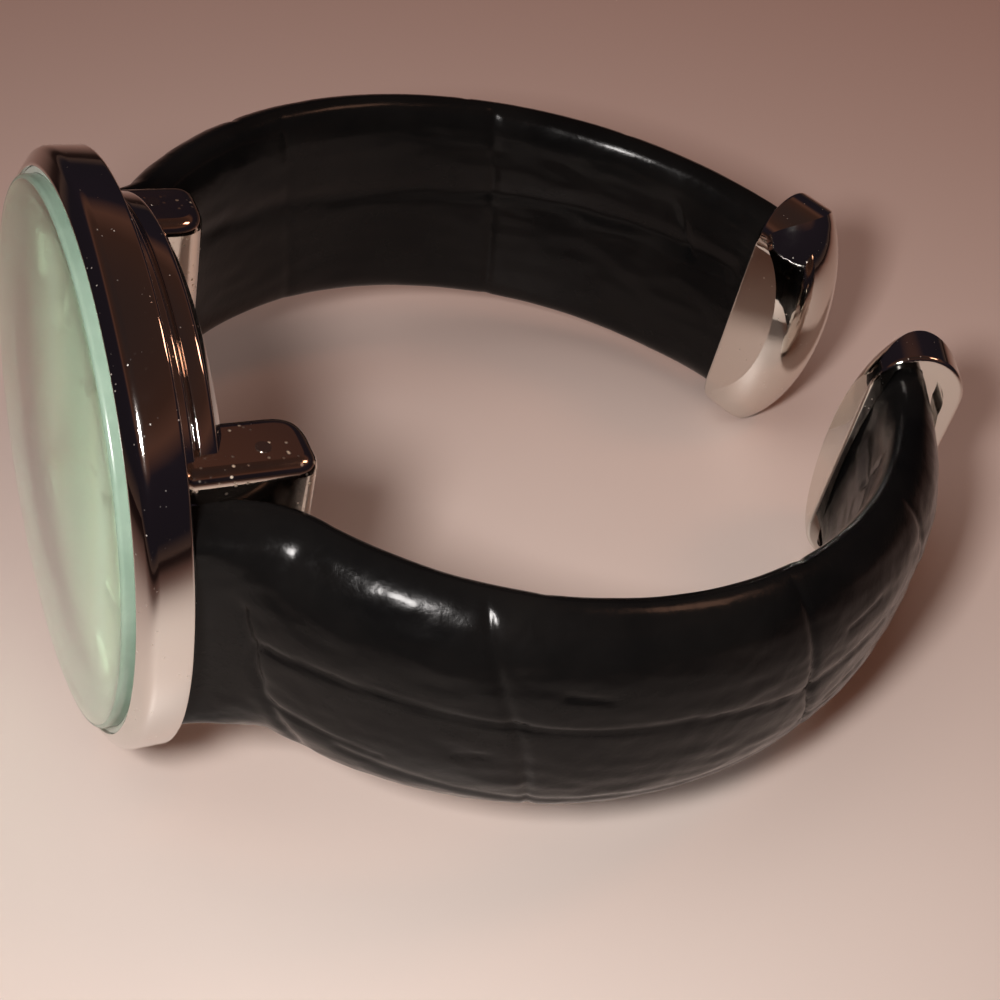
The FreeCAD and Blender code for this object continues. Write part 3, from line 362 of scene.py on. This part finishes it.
inked = worked(track_tree, "GeometryNodeSetMaterial", {"Geometry": real.outputs[0],
                                                       "Material": sizes["Ink"]})
track_tree.links.new(inked.outputs[0], track_tree.nodes.new("NodeGroupOutput").inputs["Geometry"])
ink = plain_finish("track_ink", (0.12, 0.12, 0.12, 1), 0, 0.5, 2000, 0.000002)


def grown(piece_name, node_tree, values, place):
    """The mesh that a tree of nodes makes with these values, moved and laid on the table."""
    seed = bpy.data.objects.new(piece_name + "_seed", bpy.data.meshes.new(piece_name + "_seed"))
    bpy.context.scene.collection.objects.link(seed)
    modifier = seed.modifiers.new(piece_name, "NODES")
    modifier.node_group = node_tree
    for item in node_tree.interface.items_tree:
        if item.item_type == "SOCKET" and item.in_out == "INPUT" and item.name in values:
            modifier[item.identifier] = values[item.name]
    bpy.context.view_layer.update()
    mesh = bpy.data.meshes.new_from_object(seed.evaluated_get(bpy.context.evaluated_depsgraph_get()))
    bpy.data.objects.remove(seed)
    mesh.transform(laid @ place)
    mesh.name = piece_name
    piece = bpy.data.objects.new(piece_name, mesh)
    bpy.context.scene.collection.objects.link(piece)
    return piece


dial_level = crystal_seat + 1.0
ink_lift = 0.012
facing_front = Matrix.Translation((0, dial_level - ink_lift, 0)) @ Matrix.Rotation(math.pi / 2, 4, "X")
minute_track = grown("minute_track", track_tree, {"Ink": ink}, facing_front)
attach(minute_track, "case")

# The movement: a plastic holder, a brass main plate with its bridge and wheels, a button cell, a
# wound coil with its rotor and a green board. All of it is hidden behind the dial.
holder_white = plain_finish("holder_white", (0.78, 0.77, 0.72, 1), 0, 0.5, 1200, 0.00001)
cad_finish(holder_white, "movement_holder")
cad_finish(plain_finish("satin_brass", (0.74, 0.58, 0.3, 1), 1, 0.25, 1500, 0.000003, 8.0),
           "main_plate", "train_bridge", "hour_wheel", "cannon_pinion", "seconds_wheel")
cad_finish(plain_finish("cell_can", (0.66, 0.66, 0.66, 1), 1, 0.2, 800, 0.000003, 6.0), "battery")
cad_finish(plain_finish("coil_wire", (0.72, 0.33, 0.16, 1), 1, 0.3, 2500, 0.00001, 20.0),
           "stepper_coil")
cad_finish(plain_finish("rotor_dull", (0.3, 0.3, 0.32, 1), 1, 0.4, 1800, 0.000003), "stepper_rotor")
cad_finish(plain_finish("board_lacquer", (0.05, 0.22, 0.09, 1), 0, 0.25, 900, 0.000004),
           "circuit_board")
cad_finish(plain_finish("turned_steel", (0.56, 0.55, 0.53, 1), 1, 0.22, 1600, 0.000003, 10.0),
           "setting_lever", "stem", "crown_tube", "hinge_pin_right", "hinge_pin_left")
cad_finish(plain_finish("spring_blue", (0.35, 0.35, 0.37, 1), 1, 0.3, 1400, 0.000003),
           "hinge_spring_right", "hinge_spring_left", "arm_core_right", "arm_core_left")

# The back cover: a snapped-in steel disc, satin with fine turned rings; the crown is a small
# fluted chromed cap on its stem at three o'clock, on which the watch rests.
rings, tree, shader = material("turned_rings")
place = tree.nodes.new("ShaderNodeTexCoord").outputs["Object"]
unlaid = worked(tree, "ShaderNodeMapping", {"Vector": place, "Location": tuple(-case_middle)})
stood = worked(tree, "ShaderNodeMapping", {"Vector": unlaid.outputs[0],
                                           "Rotation": (-lie_angle, 0, 0)})
lathe = worked(tree, "ShaderNodeTexWave", {"Vector": stood.outputs[0], "Scale": 900.0,
                                           "Distortion": 0.4, "Detail": 2.0},
               wave_type="RINGS", rings_direction="Y")
satin = ramp(tree, lathe.outputs["Fac"], [(0.2, (0.5, 0.49, 0.47, 1)), (0.8, (0.66, 0.65, 0.62, 1))])
tree.links.new(satin, shader.inputs["Base Color"])
shader.inputs["Metallic"].default_value = 1.0
shader.inputs["Roughness"].default_value = 0.24
bump = worked(tree, "ShaderNodeBump", {"Height": lathe.outputs["Fac"], "Strength": 0.25,
                                       "Distance": 0.00002})
tree.links.new(bump.outputs["Normal"], shader.inputs["Normal"])
cad_finish(rings, "back_cover")
cad_finish(chrome, "crown")

# The lugs: two chromed brass blocks soldered to the case at twelve and six o'clock, rounded at
# the rear, each drilled for the pin of its arm's hinge. Their chrome is a little pitted.
lug_chrome = chrome_finish("lug_chrome", (0.7, 0.62, 0.55, 1), (0.9, 0.75, 0.55, 1), 0.2, 0.3)
lug_inner = 9.9
lug_outer = 15.0
lug_rear = 8.6
lug_top = 10.9
lug_edge_rounding = 0.9


def skin(rows, count):
    """Faces over rings of count points each, every ring joined to the next."""
    faces = []
    for row in range(rows - 1):
        for point in range(count):
            ahead = (point + 1) % count
            faces.append([row * count + point, row * count + ahead,
                          (row + 1) * count + ahead, (row + 1) * count + point])
    return faces


def flat_ends(rows, count):
    """The two faces that close a skin at its first and last ring."""
    return [list(range(count)), list(range((rows - 1) * count, rows * count))]


def lug_block(piece_name, side):
    """Upright block with rounded corners, its top and bottom edges rounded by a bevel."""
    outline = softened([(lug_inner, 0.0, 0), (lug_outer, 0.0, 0), (lug_outer, lug_rear, 1.5),
                        (lug_inner, lug_rear, 3.6)], 8)
    count = len(outline)
    vertices = [(side * across, along, high) for high in (-lug_top, lug_top) for across, along in outline]
    block = finish_mesh(piece_name, vertices, skin(2, count) + flat_ends(2, count), 50)
    rounding = block.modifiers.new("rounding", "BEVEL")
    rounding.width = lug_edge_rounding * mm
    rounding.segments = 5
    rounding.limit_method = "ANGLE"
    rounding.angle_limit = math.radians(60)
    block.data.materials.append(lug_chrome)
    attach(block, "case")
    return block


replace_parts(lug_block("lug_block_right", 1), "lug_right")
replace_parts(lug_block("lug_block_left", -1), "lug_left")

# The solder: a thin uneven bead of tin where the top of each lug meets the rear face of the
# case, run out round the lug's corner to a small drop over the leather's end.
solder_tin = plain_finish("solder_tin", (0.66, 0.58, 0.44, 1), 1, 0.28, 1800, 0.00003)
bead_route = [Vector(place) for place in (
    (11.2, 0.12, 10.2), (13.9, 0.12, 10.35), (14.8, 0.12, 10.0), (15.06, 0.12, 9.4),
    (15.1, 0.14, 8.8), (15.5, 0.14, 8.2), (15.9, 0.12, 7.7))]
bead_legs = len(bead_route) - 1
bead_thickness = 0.15
bead_unevenness = 0.07
drop_thickness = 0.13
drop_start = 44
bead_steps = 60
around = 10
for side_name, side in (("right", 1), ("left", -1)):
    vertices = []
    for step in range(bead_steps):
        part = step / (bead_steps - 1) * bead_legs
        leg = min(int(part), bead_legs - 1)
        middle = bead_route[leg].lerp(bead_route[leg + 1], part - leg)
        thick = bead_thickness + bead_unevenness * noise.noise(Vector((step * 0.31, side * 4.1, 0)))
        if step > drop_start:
            thick += drop_thickness * math.sin(math.pi * (step - drop_start) / (bead_steps - drop_start))
        thick *= min(1, 0.25 + step / 6, 0.25 + (bead_steps - 1 - step) / 4)
        heading = (bead_route[leg + 1] - bead_route[leg]).normalized()
        outwards = heading.cross(Vector((0, 1, 0)))
        for spoke in range(around):
            spoke_angle = math.tau * spoke / around
            place = middle + outwards * thick * math.cos(spoke_angle)
            vertices.append((side * place.x, place.y + thick * math.sin(spoke_angle), place.z))
    faces = skin(bead_steps, around) + flat_ends(bead_steps, around)
    bead = finish_mesh("solder_bead_" + side_name, vertices, faces, 80)
    bead.data.materials.append(solder_tin)
    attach(bead, "case")

# The arms: black leather embossed with large scales, glued over foam and a spring strip. At the hinge the
# leather runs on flat over the lug's outer face, in one piece with the arm.
leather_paint, tree, shader = material("glazed_leather")
place = tree.nodes.new("ShaderNodeTexCoord").outputs["Object"]
pores = worked(tree, "ShaderNodeTexVoronoi", {"Vector": place, "Scale": 2600.0}, feature="F1")
creping = worked(tree, "ShaderNodeTexNoise", {"Vector": place, "Scale": 700.0, "Detail": 6.0,
                                              "Roughness": 0.62, "Distortion": 0.4})
rub = worked(tree, "ShaderNodeTexNoise", {"Vector": place, "Scale": 120.0, "Detail": 4.0})
tone = ramp(tree, rub.outputs["Fac"], [(0.3, (0.003, 0.003, 0.0032, 1)),
                                       (0.7, (0.0075, 0.0068, 0.0065, 1))])
tree.links.new(tone, shader.inputs["Base Color"])
gloss = worked(tree, "ShaderNodeMapRange", {"Value": creping.outputs["Fac"], "From Min": 0.3,
                                            "From Max": 0.7, "To Min": 0.14, "To Max": 0.27})
tree.links.new(gloss.outputs[0], shader.inputs["Roughness"])
shader.inputs["IOR"].default_value = 1.42
shader.inputs["Specular IOR Level"].default_value = 0.14
shader.inputs["Coat Weight"].default_value = 0.06
shader.inputs["Coat Roughness"].default_value = 0.08
grain = worked(tree, "ShaderNodeBump", {"Height": creping.outputs["Fac"], "Strength": 0.35,
                                        "Distance": 0.00009})
pits = worked(tree, "ShaderNodeBump", {"Height": pores.outputs["Distance"], "Strength": 0.12,
                                       "Distance": 0.00003, "Normal": grain.outputs["Normal"]})
tree.links.new(pits.outputs["Normal"], shader.inputs["Normal"])

apex_back = 28.5
apex_across = 27.4
front_bend = 25.5
rear_bend = 29.2
front_sweep = math.radians(52.0)
rear_sweep = math.radians(66.4)
hinge_run = 8.0
band_half_height = 9.2
band_thickness = 5.2
lug_face = 14.7
facing_face = 18.1


def bezier(start, pull, end, part):
    return start * (1 - part) ** 2 + pull * 2 * part * (1 - part) + end * part ** 2


def eased(part):
    """Held between 0 and 1, and level at both."""
    part = min(max(part, 0), 1)
    return part * part * (3 - 2 * part)


def band_place(station, outwards):
    """Place across and behind the case, at a run in mm from the widest place and outwards."""
    if station >= 0:
        angle = station / rear_bend
        reach = rear_bend + outwards
        return Vector((apex_across - rear_bend + reach * math.cos(angle),
                       apex_back + reach * math.sin(angle)))
    angle = -station / front_bend
    centre = Vector((apex_across - front_bend, apex_back))
    if angle <= front_sweep:
        reach = front_bend + outwards
        return Vector((apex_across - front_bend + reach * math.cos(angle),
                       apex_back - reach * math.sin(angle)))
    part = min((angle - front_sweep) / (hinge_run / front_bend), 1)
    heading = Vector((math.sin(front_sweep), math.cos(front_sweep)))
    spoke = Vector((math.cos(front_sweep), -math.sin(front_sweep)))
    inner_end = centre + spoke * front_bend
    outer_end = centre + spoke * (front_bend + band_thickness)
    inner = bezier(inner_end, inner_end - heading * 3.9, Vector((lug_face, 0.12)), part)
    outer = bezier(outer_end, outer_end - heading * 3.3, Vector((facing_face, 0.12)), part)
    return inner.lerp(outer, outwards / band_thickness)


# The creases of the leather: its embossed scale edges and its worn folds, each a line of
# (run, height) points in mm with its depth and its width.
creases_outside = [
    ([(-13.0, 9.4), (-9.3, 0.0), (-7.1, -9.4)], 0.26, 0.42),
    ([(6.6, 9.4), (8.9, 0.0), (12.7, -9.4)], 0.26, 0.42),
    ([(-26.0, 3.5), (-24.4, -0.5), (-20.9, -7.5)], 0.26, 0.8),
    ([(-24.8, 1.2), (-17.0, 1.9), (-9.4, 1.7)], 0.26, 0.36),
    ([(-9.4, 1.6), (0.0, 1.9), (9.2, 0.6)], 0.24, 0.34),
    ([(-7.6, 4.6), (-5.3, 4.3)], 0.22, 0.26),
    ([(9.2, 1.2), (16.0, 2.4), (23.5, 1.2)], 0.16, 0.5),
    ([(19.5, 9.4), (21.6, 1.6), (24.0, -9.4)], 0.18, 0.45),
    ([(-18.6, -4.7), (-7.6, -6.3), (4.0, -6.1), (11.6, -5.2)], 0.18, 0.7),
    ([(10.8, 4.8), (14.0, 5.3)], 0.15, 0.26),
    ([(11.6, -2.2), (15.4, -1.2)], 0.15, 0.26),
    ([(9.8, -3.4), (13.0, -3.0)], 0.14, 0.26),
    ([(-12.5, -1.6), (-10.6, -1.2)], 0.14, 0.22),
    ([(-22.6, -3.4), (-16.4, -3.9)], 0.16, 0.36)]
creases_inside = [
    ([(8.7, 9.4), (10.2, 1.0), (11.5, -9.4)], 0.2, 0.7),
    ([(-9.6, 9.4), (-8.4, 0.0), (-7.1, -9.4)], 0.1, 0.9),
    ([(26.0, 6.0), (28.4, 2.0)], 0.16, 0.5),
    ([(-24.0, 3.2), (-14.0, 1.7), (-4.0, 1.2), (10.2, 1.8), (22.0, 2.6), (32.0, 3.0)], 0.3, 1.5)]


def crease_depth(station, height, creases):
    """How deep the leather lies below its swell near its creases."""
    depth = 0
    for points, deep, wide in creases:
        nearest = math.inf
        for (start_run, start_high), (end_run, end_high) in zip(points, points[1:]):
            run, rise = end_run - start_run, end_high - start_high
            part = ((station - start_run) * run + (height - start_high) * rise) / (run * run + rise * rise)
            part = min(max(part, 0), 1)
            away = math.hypot(station - start_run - run * part, height - start_high - rise * part)
            nearest = min(nearest, away)
        if nearest < 5 * wide:
            cut = math.exp(-(nearest / (wide * 0.6)) ** 2)
            sunk_round_it = math.exp(-nearest / (wide * 1.3))
            depth += deep * (0.5 * cut + 0.5 * sunk_round_it)
    return depth


# The skin of an arm is a closed tube of rings, from the lug to the cap. Near the case it keeps
# clear of the boss and of the step in front of it.
stations = 330
outside_points = 104
inside_points = 56
cap_tuck = 0.9
cap_run_start = 24.0
cap_run = 10.0
rim = 1.2
cap_rim = 0.5
cap_thinning = 0.9
boss_reach = 3.4
boss_room = 17.1
step_reach = 1.2
step_room = 17.45


def leather_arm(piece_name, side, node, facing_node):
    """The leather of one arm, in one piece with the flat leather on its lug."""
    first = -front_bend * front_sweep - hinge_run
    last = rear_bend * rear_sweep + cap_tuck
    vertices = []
    for index in range(stations):
        station = first + (last - first) * index / (stations - 1)
        flatness = eased((-station - front_bend * front_sweep) / hinge_run)
        to_cap = eased((station - cap_run_start) / cap_run)
        full_across = 2.8 + 12 * flatness
        full_out = 1.7 + 1.2 * flatness
        half_height = band_half_height - 0.4 * flatness - 0.15 * to_cap
        side_rise = rim * (1 - flatness) + cap_rim * to_cap
        swell = band_thickness - cap_thinning * to_cap - side_rise
        ring = []
        for point in range(outside_points):
            lean = -math.pi / 2 + math.pi * point / (outside_points - 1)
            height = half_height * math.copysign(abs(math.sin(lean)) ** (2 / full_across * 1.2), lean)
            level = max(0, 1 - abs(height / half_height) ** full_across) ** (1 / full_out)
            sink = crease_depth(station, height, creases_outside) * (1 - 0.6 * flatness)
            wrinkle = noise.noise(Vector((station * 0.35, height * 0.9, side * 3.0))) * 0.07
            wrinkle += noise.noise(Vector((station * 1.1, height * 1.6, side * 9.0))) * 0.025
            fade = min(1, level * 2.5)
            ring.append((side_rise + swell * level + (wrinkle - sink) * fade, height))
        for point in range(inside_points):
            height = half_height * (1 - 2 * (point + 1) / (inside_points + 1))
            level = math.sqrt(max(0, 1 - abs(height / half_height) ** 6))
            sink = crease_depth(station, height, creases_inside)
            wrinkle = noise.noise(Vector((station * 0.3, height * 0.8, side * 5.0 + 20))) * 0.06
            depth = (side_rise + 0.4) * level - (sink - wrinkle) * min(1, level * 2) + 0.35 * flatness
            ring.append((side_rise - depth, height))
        for outwards, height in ring:
            place = band_place(station, outwards)
            if place.y < boss_reach:
                room = step_room if place.y < step_reach else boss_room
                place.x = max(place.x, math.sqrt(max(room ** 2 - height ** 2, lug_face ** 2)))
            vertices.append((side * place.x, place.y, height))
    count = outside_points + inside_points
    faces = skin(stations, count)
    for row in (0, (stations - 1) * count):
        middle = [sum(vertices[row + point][axis] for point in range(count)) / count for axis in range(3)]
        vertices.append(tuple(middle))
        faces.extend([row + point, row + (point + 1) % count, len(vertices) - 1] for point in range(count))
    piece = finish_mesh(piece_name, vertices, faces, 75)
    piece.data.materials.append(leather_paint)
    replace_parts(piece, node, facing_node)
    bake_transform(piece)


leather_arm("leather_arm_right", 1, "leather_cover_right", "lug_leather_right")
leather_arm("leather_arm_left", -1, "leather_cover_left", "lug_leather_left")
cad_finish(plain_finish("foam_felt", (0.1, 0.09, 0.085, 1), 0, 0.9, 2400, 0.00004),
           "arm_padding_right", "arm_padding_left")

# The end caps: cast, domed and chromed cups that close the ends of the leather. Each takes the
# end of its arm's spring strip in a slot and is riveted to it inside.
cap_chrome = chrome_finish("cap_chrome", (0.74, 0.71, 0.66, 1), (0.85, 0.78, 0.7, 1), 0.1, 0.12)
cad_finish(cap_chrome, "end_cap_right", "end_cap_left")

# The table: a smooth pale sheet with a painted pool of light round the watch that darkens to painted shade
# far off, which the chrome picks up from below.
# It is stage, not part of the watch.
table_reach = 4
table_mesh = bpy.data.meshes.new("table_top")
table_mesh.from_pydata([(-table_reach, -table_reach, 0), (table_reach, -table_reach, 0),
                        (table_reach, table_reach, 0), (-table_reach, table_reach, 0)],
                       [], [(0, 1, 2, 3)])
table_top = bpy.data.objects.new("table_top", table_mesh)
bpy.context.scene.collection.objects.link(table_top)
table_paint, tree, shader = material("table_painted_light_pool")
place = tree.nodes.new("ShaderNodeTexCoord").outputs["Object"]
# Painted light: pale near the watch, fading with distance to a painted dark brown shade.
from_painted_pool_centre = worked(tree, "ShaderNodeVectorMath", {0: place, 1: (0.07, -0.035, 0)},
                    operation="DISTANCE")
tree.links.new(ramp(tree, from_painted_pool_centre.outputs["Value"], [
    (0.0, (0.76, 0.68, 0.62, 1)), (0.06, (0.75, 0.64, 0.58, 1)), (0.11, (0.7, 0.54, 0.48, 1)),
    (0.2, (0.62, 0.39, 0.33, 1)), (0.45, (0.12, 0.07, 0.05, 1))]), shader.inputs["Base Color"])
shader.inputs["Roughness"].default_value = 0.42
table_mesh.materials.append(table_paint)

# The camera stands close by, above the near arm and a little in front of the dial. It is tilted
# with the watch, so its place and directions are given in the watch's own axes.
camera_data = bpy.data.cameras.new("camera")
camera_data.sensor_width = 36
camera_data.lens = 59.72
camera_data.shift_x = -0.0672
camera_data.shift_y = 0.1336
camera_data.clip_start = 0.005
camera = bpy.data.objects.new("camera", camera_data)
bpy.context.scene.collection.objects.link(camera)
bpy.context.scene.camera = camera
stand = Vector((84.8, -23.0, 77.2))
looking = Vector((-0.568, 0.431, -0.701)).normalized()
rightwards = Vector((0.399, 0.889, 0.224))
rightwards = (rightwards - looking * rightwards.dot(looking)).normalized()
upwards = rightwards.cross(looking)
facing = Matrix((rightwards, upwards, -looking)).transposed().to_4x4()
camera.matrix_world = (Matrix.Translation(laid @ stand)
                       @ Matrix.Rotation(lie_angle, 4, "X") @ facing)

# The light: a small lamp beside the lens, a wide weak one above, a dim warm one behind the caps,
# and a dim brown room, which is what the polished chrome shows from above.
room = bpy.data.worlds.new("room")
bpy.context.scene.world = room
room.use_nodes = True
sky = room.node_tree
sky_place = sky.nodes.new("ShaderNodeTexCoord").outputs["Generated"]
split = worked(sky, "ShaderNodeSeparateXYZ", {"Vector": sky_place})
shade = ramp(sky, split.outputs["Z"], [(0.0, (0.06, 0.034, 0.026, 1)), (0.1, (0.012, 0.009, 0.012, 1)),
                                       (0.5, (0.014, 0.01, 0.014, 1)), (0.62, (0.085, 0.036, 0.024, 1)),
                                       (0.74, (0.045, 0.02, 0.014, 1)), (1.0, (0.03, 0.018, 0.016, 1))])
sky.links.new(shade, sky.nodes["Background"].inputs["Color"])
sky.nodes["Background"].inputs["Strength"].default_value = 1.0


def lamp(lamp_name, place, aim, size, power, colour, in_reflections=True):
    """A square lamp that looks at a place on the table."""
    lamp_data = bpy.data.lights.new(lamp_name, "AREA")
    lamp_data.size = size
    lamp_data.energy = power
    lamp_data.color = colour
    lamp_object = bpy.data.objects.new(lamp_name, lamp_data)
    lamp_object.location = place
    lamp_object.rotation_euler = (Vector(aim) - Vector(place)).to_track_quat("-Z", "Y").to_euler()
    lamp_object.visible_glossy = in_reflections
    bpy.context.scene.collection.objects.link(lamp_object)


beside_lens = camera.matrix_world @ Vector((-0.022, 0.006, 0))
lamp("main_lamp", beside_lens, (0, 0, 0.01), 0.018, 0.135, (1, 0.955, 0.93))
lamp("soft_lamp", (-0.1, -0.15, 0.6), (0, 0, 0.01), 0.5, 0.8, (1, 0.94, 0.9), False)
lamp("warm_lamp", (0.035, 0.21, 0.27), (0, 0, 0.02), 0.07, 0.1, (1, 0.5, 0.32))

bpy.context.scene.view_settings.view_transform = "Standard"
